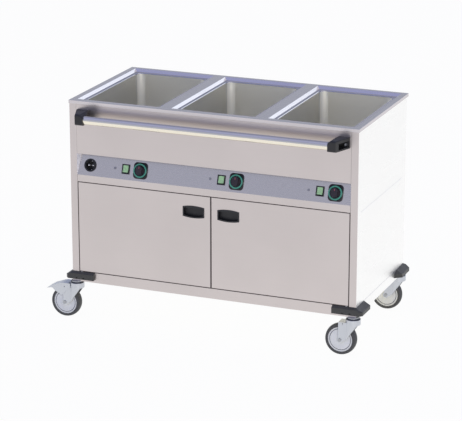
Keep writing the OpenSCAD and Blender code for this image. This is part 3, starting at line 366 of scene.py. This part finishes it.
def soften(node, width, segments=2):
    """Rounds a node's edges a little, so that they catch the light."""
    obj = nodes[node]
    weld = obj.modifiers.new("weld", "WELD")
    weld.merge_threshold = 0.00001
    bevel = obj.modifiers.new("bevel", "BEVEL")
    bevel.width = width / 1000
    bevel.segments = segments
    bevel.limit_method = "ANGLE"
    bevel.angle_limit = math.radians(40)
    bevel.harden_normals = True


for node in WELLS:
    soften(node, 1.2, 3)
for node in ("worktop", "front_posts", "rear_posts", "upper_side_panels", "lower_side_panels"):
    soften(node, 0.6)
for node in ("front_bumpers", "rear_bumpers", "bar_brackets"):
    soften(node, 1.0)


# ---------------------------------------------------------------- pieces

def add(name, bm, material, body, place, sharp=35):
    """Makes a piece of a mesh in millimetres, at its place and carried by its CAD body."""
    bmesh.ops.recalc_face_normals(bm, faces=bm.faces)
    bmesh.ops.scale(bm, vec=(0.001, 0.001, 0.001), verts=bm.verts)
    bmesh.ops.transform(bm, matrix=place, verts=bm.verts)
    mesh = bpy.data.meshes.new(name)
    bm.to_mesh(mesh)
    bm.free()
    for face in mesh.polygons:
        face.use_smooth = True
    mesh.set_sharp_from_angle(angle=math.radians(sharp))
    mesh.materials.append(material)
    obj = bpy.data.objects.new(name, mesh)
    scene.collection.objects.link(obj)
    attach(obj, body)
    return obj


def stitch(bm, a, b):
    """Joins two closed rows of points with faces."""
    for j in range(len(a)):
        k = (j + 1) % len(a)
        bm.faces.new((a[j], a[k], b[k], b[j]))


def turned(profile, steps):
    """A closed profile of (radius, height) points turned round Z."""
    bm = bmesh.new()
    rows = []
    for i in range(steps):
        turn = 2 * math.pi * i / steps
        rows.append([bm.verts.new((r * math.cos(turn), r * math.sin(turn), h))
                     for r, h in profile])
    for i in range(steps):
        stitch(bm, rows[i], rows[(i + 1) % steps])
    bmesh.ops.remove_doubles(bm, verts=bm.verts, dist=1e-5)
    return bm


def bar(bm, low, high, round_off, turn=0.0):
    """Adds a block with rounded edges between two corners, turned round Z."""
    part = bmesh.ops.create_cube(bm, size=1)["verts"]
    size = [h - l for l, h in zip(low, high)]
    middle = [(h + l) / 2 for l, h in zip(low, high)]
    place = Matrix.Rotation(turn, 4, "Z") @ Matrix.Translation(middle)
    bmesh.ops.transform(bm, matrix=place @ Matrix.Diagonal((*size, 1)), verts=part)
    edges = list({e for v in part for e in v.link_edges})
    bmesh.ops.bevel(bm, geom=edges, offset=round_off, segments=2, affect="EDGES")
    return bm


def merge(into, part, move=(0, 0, 0)):
    """Adds one mesh, moved, to another, and frees it."""
    bmesh.ops.translate(part, vec=move, verts=part.verts)
    scrap = bpy.data.meshes.new("scrap")
    part.to_mesh(scrap)
    part.free()
    into.from_mesh(scrap)
    bpy.data.meshes.remove(scrap)


def outline(width, depth, radius, inset, steps):
    """The points round a rectangle with rounded corners, drawn in by an inset."""
    r = max(radius - inset, 0.01)
    x, y = width / 2 - inset - r, depth / 2 - inset - r
    points = []
    for quarter, (sx, sy) in enumerate(((1, 1), (-1, 1), (-1, -1), (1, -1))):
        for i in range(steps + 1):
            turn = math.pi / 2 * (quarter + i / steps)
            points.append((sx * x + r * math.cos(turn), sy * y + r * math.sin(turn)))
    return points


def outline_rows(bm, width, depth, radius, section, steps):
    """One row of points round a rounded rectangle for each (inset, height) of a section."""
    return [[bm.verts.new((px, py, h))
             for px, py in outline(width, depth, radius, inset, steps)] for inset, h in section]


def framed(width, depth, radius, section, steps):
    """A closed section of (inset, height) points carried round a rounded rectangle."""
    bm = bmesh.new()
    rows = outline_rows(bm, width, depth, radius, section, steps)
    for j in range(len(rows)):
        stitch(bm, rows[j], rows[(j + 1) % len(rows)])
    return bm


def slab(width, depth, radius, section, steps):
    """A rounded rectangle built up of (inset, height) rows, closed at both ends."""
    bm = bmesh.new()
    rows = outline_rows(bm, width, depth, radius, section, steps)
    for a, b in zip(rows, rows[1:]):
        stitch(bm, a, b)
    bm.faces.new(rows[0])
    bm.faces.new(rows[-1])
    return bm


# Knobs: a bright ring on the skirt's rim, marks round the sunk face, a cap and a pointer.
# The profiles are (radius, height over the panel).
RING = [(22.4, 8.4), (22.4, 9.0), (23.0, 9.5), (27.1, 9.5), (27.7, 9.0), (27.8, 8.4)]
CAP = [(0, 19.4), (0, 20.6), (5.2, 20.5), (6.0, 19.9), (6.2, 19.4)]
TICKS, FIRST_TICK, TICK_STEP = 11, -150, 30
for side, x in KNOB_X.items():
    body, place = "knob_" + side, on_panel(x)
    add("knob_ring_" + side, turned(RING, 96), ring_plastic, body, place)
    ticks = bmesh.new()
    for i in range(TICKS):
        turn = math.radians(FIRST_TICK + TICK_STEP * i)
        bar(ticks, (-0.5, 19.7, 5.4), (0.5, 21.8, 6.0), 0.12, turn)
    add("knob_ticks_" + side, ticks, tick_plastic, body, place)
    add("knob_cap_" + side, turned(CAP, 48), grip_plastic, body, place)
    pointer = bar(bmesh.new(), (-1.3, 6.6, 19.3), (1.3, 15.6, 20.2), 0.35)
    add("knob_pointer_" + side, pointer, mark_plastic, body, place)

# The plates behind the knobs, with wide rounded corners and softened edges
PLATE = (60, 65, 15)                    # width, height and corner radius
PLATE_EDGE = [(0, 0.02), (0, 1.3), (0.2, 1.75), (0.7, 2.0)]
plates = bmesh.new()
for x in KNOB_X.values():
    shift = on_panel(0).inverted() @ on_panel(x)
    merge(plates, slab(*PLATE, PLATE_EDGE, 10), shift.translation * 1000)
rounded = add("dial_plates_rounded", plates, black_plastic, "cabinet",
              on_panel(0))
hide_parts("dial_plates")

# The inlet's pins end in round tips
tips = bmesh.new()
turns = [t * math.pi / 12 for t in range(7)]
dome = [(PIN_R * math.cos(t), PIN_R * math.sin(t)) for t in turns]
for s in (-1, 1):
    merge(tips, turned([(0, -5), (PIN_R, -5)] + dome, 32), (s * PIN_GAP / 2, 0, PIN_TIP_OUT))
add("inlet_pin_tips", tips, nickel, "cabinet", on_panel(INLET_X))

# A turned-down edge round each well's opening
WELL_EDGE = [(-0.2, 888.25), (0.1, 888.45), (0.4, 888.45), (1.9, 886.8), (1.9, 886.0),
             (0.02, 886.0), (0.02, 888.2)]
for name in WELLS:
    low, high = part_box(name)
    middle = (low + high) / 2
    place = Matrix.Translation((middle.x, middle.y, 0))
    edge = framed(*WELL_OPENING, WELL_EDGE, 10)
    add("edge_of_" + name, edge, steel_edge, "cabinet", place, 30)

# A dark strip round the edge of each door, painted shade of the gap round the door
for side in ("left", "right"):
    low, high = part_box(side + "_door")
    wide, tall = (high.x - low.x) * 1000, (high.z - low.z) * 1000
    section = [(0.0, -0.3), (0.0, 0.2), (DOOR_SHADE_WIDTH, 0.2), (DOOR_SHADE_WIDTH, -0.3)]
    painted_gap = framed(wide, tall, 0.3, section, 2)
    place = Matrix.Translation(((low.x + high.x) / 2, low.y, (low.z + high.z) / 2)) @ UPRIGHT
    add("door_edge_shade_" + side, painted_gap, seam_shade, side + "_door", place)

# The joint between the upper and lower side panels is filled to just under their faces, and
# the one between each lower side panel and the base frame shows as a fine line
low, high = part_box("upper_side_panels")
front, back = (low.y - SY) * 1000, (high.y - SY) * 1000
SIDES = (("left", -1), ("right", 1))
for name, s in SIDES:
    filler = bar(bmesh.new(), (-0.5, front + 1, -0.72), (0.5, back - 1, 0.72), 0.1)
    add("side_joint_" + name, filler, joint_filler, "cabinet",
        at(s * JOINT_X, 0, JOINT_Z))
for name, s in SIDES:
    line = bar(bmesh.new(), (-0.3, front + 14, -0.7), (0.3, back - 14, 0.7), 0.1)
    add("base_joint_" + name, line, joint_line, "cabinet",
        at(s * SILL_JOINT_X, 0, SILL_Z))

# Wheels: a dark ring in the groove of each face, painted shade of the groove
GROOVE_R, GROOVE_OUT = (41.05, 43.45), (12.4, 13.3)
for corner, (x, y) in CORNERS.items():
    place = at(x - TRAIL, y, AXLE_Z) @ UPRIGHT
    both = bmesh.new()
    for s in (-1, 1):
        inner, outer = s * GROOVE_OUT[0], s * GROOVE_OUT[1]
        merge(both, turned([(GROOVE_R[0], inner), (GROOVE_R[1], inner),
                            (GROOVE_R[1], outer), (GROOVE_R[0], outer)], 96))
    add("wheel_line_" + corner, both, groove_shade, "wheel_" + corner, place)

# Castor heads: a bright bead round the top edge, and a dark ring at the stem's foot, painted
# shade of the gap between head and stem.
# The profiles are (radius, height over the floor).
BEAD = [(27.3, 146.8), (27.3, 147.8), (27.8, 148.3), (28.4, 148.3), (28.9, 147.8),
        (28.9, 146.8)]
STEM_SHADE_RING = [(23.1, 147.2), (23.1, 153.8), (23.8, 153.6), (24.6, 152.4), (26.4, 147.6),
             (26.4, 147.2)]
for corner, (x, y) in CORNERS.items():
    body, place = "castor_" + corner, at(x, y, 0)
    add("castor_bead_" + corner, turned(BEAD, 72), zinc, body, place)
    add("castor_stem_shade_" + corner, turned(STEM_SHADE_RING, 72), stem_foot_shade, body,
        place)

# ---------------------------------------------------------------- camera

# Fitted to the photo's edges
AZ, EL, DIST = math.radians(21.999), math.radians(17.074), 8.8858
FOCAL_PIXELS, PHOTO_WIDTH, SENSOR = 2222.6, 462, 36
target = body_point(-36.27, 0, 426.99)
away = Vector((math.sin(AZ) * math.cos(EL), -math.cos(AZ) * math.cos(EL), math.sin(EL)))
cam_data = bpy.data.cameras.new("photo_camera")
cam_data.sensor_width = SENSOR
cam_data.lens = FOCAL_PIXELS * SENSOR / PHOTO_WIDTH
cam_data.clip_end = 100
cam = bpy.data.objects.new("photo_camera", cam_data)
scene.collection.objects.link(cam)
cam.location = target + away * DIST
cam.rotation_euler = (-away).to_track_quat("-Z", "Y").to_euler()
scene.camera = cam

# ---------------------------------------------------------------- floor, world and lights

scene.view_settings.view_transform = "Standard"

bm = bmesh.new()
bmesh.ops.create_grid(bm, x_segments=8, y_segments=8, size=12)
floor_mesh = bpy.data.meshes.new("floor")
bm.to_mesh(floor_mesh)
bm.free()
floor = bpy.data.objects.new("floor", floor_mesh)
scene.collection.objects.link(floor)
floor_mat = Mat("floor_paper").set(Roughness=0.9, Specular_IOR_Level=0.1)
speck = floor_mat.noise(2.0, 2.0)
paper = floor_mat.mix(floor_mat.range(speck, 0, 1), (0.93, 0.925, 0.92), (0.95, 0.945, 0.94))
floor_mat.link(paper, "Base Color").backdrop((1.0, 1.0, 1.0), 0.04)
floor_mesh.materials.append(floor_mat.mat)

# The room's colour by the height of the direction. Behind the object it is white at the
# horizon, as the backdrop is, then grey, and lilac blue overhead. In front it is blue grey all
# the way up, and paler overhead than behind.
HEIGHTS = (0.0, 0.07, 0.17, 0.29, 0.57, 0.875, 1.0)
FRONT_ROOM = ((0.50, 0.51, 0.68), (0.45, 0.48, 0.70), (0.48, 0.52, 0.70), (0.50, 0.55, 0.67),
              (0.36, 0.385, 0.60), (0.38, 0.42, 0.74), (0.42, 0.44, 0.62))
BACK_ROOM = ((1, 1, 1), (0.86, 0.87, 0.90), (0.60, 0.64, 0.74), (0.50, 0.55, 0.67),
             (0.26, 0.29, 0.48), (0.26, 0.29, 0.50), (0.42, 0.44, 0.62))
world = bpy.data.worlds.new("studio")
scene.world = world
world.use_nodes = True
wt = world.node_tree
wt.nodes.clear()
out = wt.nodes.new("ShaderNodeOutputWorld")
seen = wt.nodes.new("ShaderNodeBackground")
seen.inputs["Color"].default_value = (1, 1, 1, 1)
lit = wt.nodes.new("ShaderNodeBackground")
coord = wt.nodes.new("ShaderNodeTexCoord")
split = wt.nodes.new("ShaderNodeSeparateXYZ")
wt.links.new(coord.outputs["Generated"], split.inputs["Vector"])
rooms = []
for colours in (FRONT_ROOM, BACK_ROOM):
    ramp = wt.nodes.new("ShaderNodeValToRGB")
    for height in HEIGHTS[1:-1]:
        ramp.color_ramp.elements.new(height)
    for stop, height, colour in zip(ramp.color_ramp.elements, HEIGHTS, colours):
        stop.position = height
        stop.color = (*colour, 1)
    wt.links.new(split.outputs["Z"], ramp.inputs["Fac"])
    rooms.append(ramp.outputs["Color"])
behind = wt.nodes.new("ShaderNodeMapRange")
behind.inputs["From Min"].default_value = -0.15
behind.inputs["From Max"].default_value = 0.15
wt.links.new(split.outputs["Y"], behind.inputs["Value"])
room = wt.nodes.new("ShaderNodeMix")
room.data_type = "RGBA"
wt.links.new(behind.outputs["Result"], room.inputs["Factor"])
wt.links.new(rooms[0], room.inputs["A"])
wt.links.new(rooms[1], room.inputs["B"])
wt.links.new(room.outputs["Result"], lit.inputs["Color"])
path = wt.nodes.new("ShaderNodeLightPath")
blend = wt.nodes.new("ShaderNodeMixShader")
wt.links.new(path.outputs["Is Camera Ray"], blend.inputs["Fac"])
wt.links.new(lit.outputs["Background"], blend.inputs[1])
wt.links.new(seen.outputs["Background"], blend.inputs[2])
wt.links.new(blend.outputs["Shader"], out.inputs["Surface"])


def softbox(name, place, look_at, width, height, radiance, colour=(1, 1, 1)):
    """A rectangular lamp that looks as bright as a white card of the given radiance."""
    data = bpy.data.lights.new(name, "AREA")
    data.shape = "RECTANGLE"
    data.size, data.size_y = width, height
    data.energy = radiance * math.pi * width * height
    data.color = colour
    obj = bpy.data.objects.new(name, data)
    scene.collection.objects.link(obj)
    obj.location = place
    obj.rotation_euler = (Vector(look_at) - Vector(place)).to_track_quat("-Z", "Y").to_euler()
    obj.visible_camera = False


WARM = (1.0, 0.94, 0.84)
softbox("over", (1.9, 0.2, 4.4), (0.4, 0, 0.4), 2.6, 3.0, 0.8, WARM)
softbox("left", (-4.4, -1.2, 3.4), (0, 0, 0.5), 2.4, 2.4, 0.9, WARM)
softbox("front", (3.0, -5.0, 1.4), (0, 0, 0.5), 3.2, 2.2, 3.0, WARM)
softbox("back_right", (2.2, 5.4, 2.75), (0, 0, 0.9), 2.6, 1.6, 1.1)
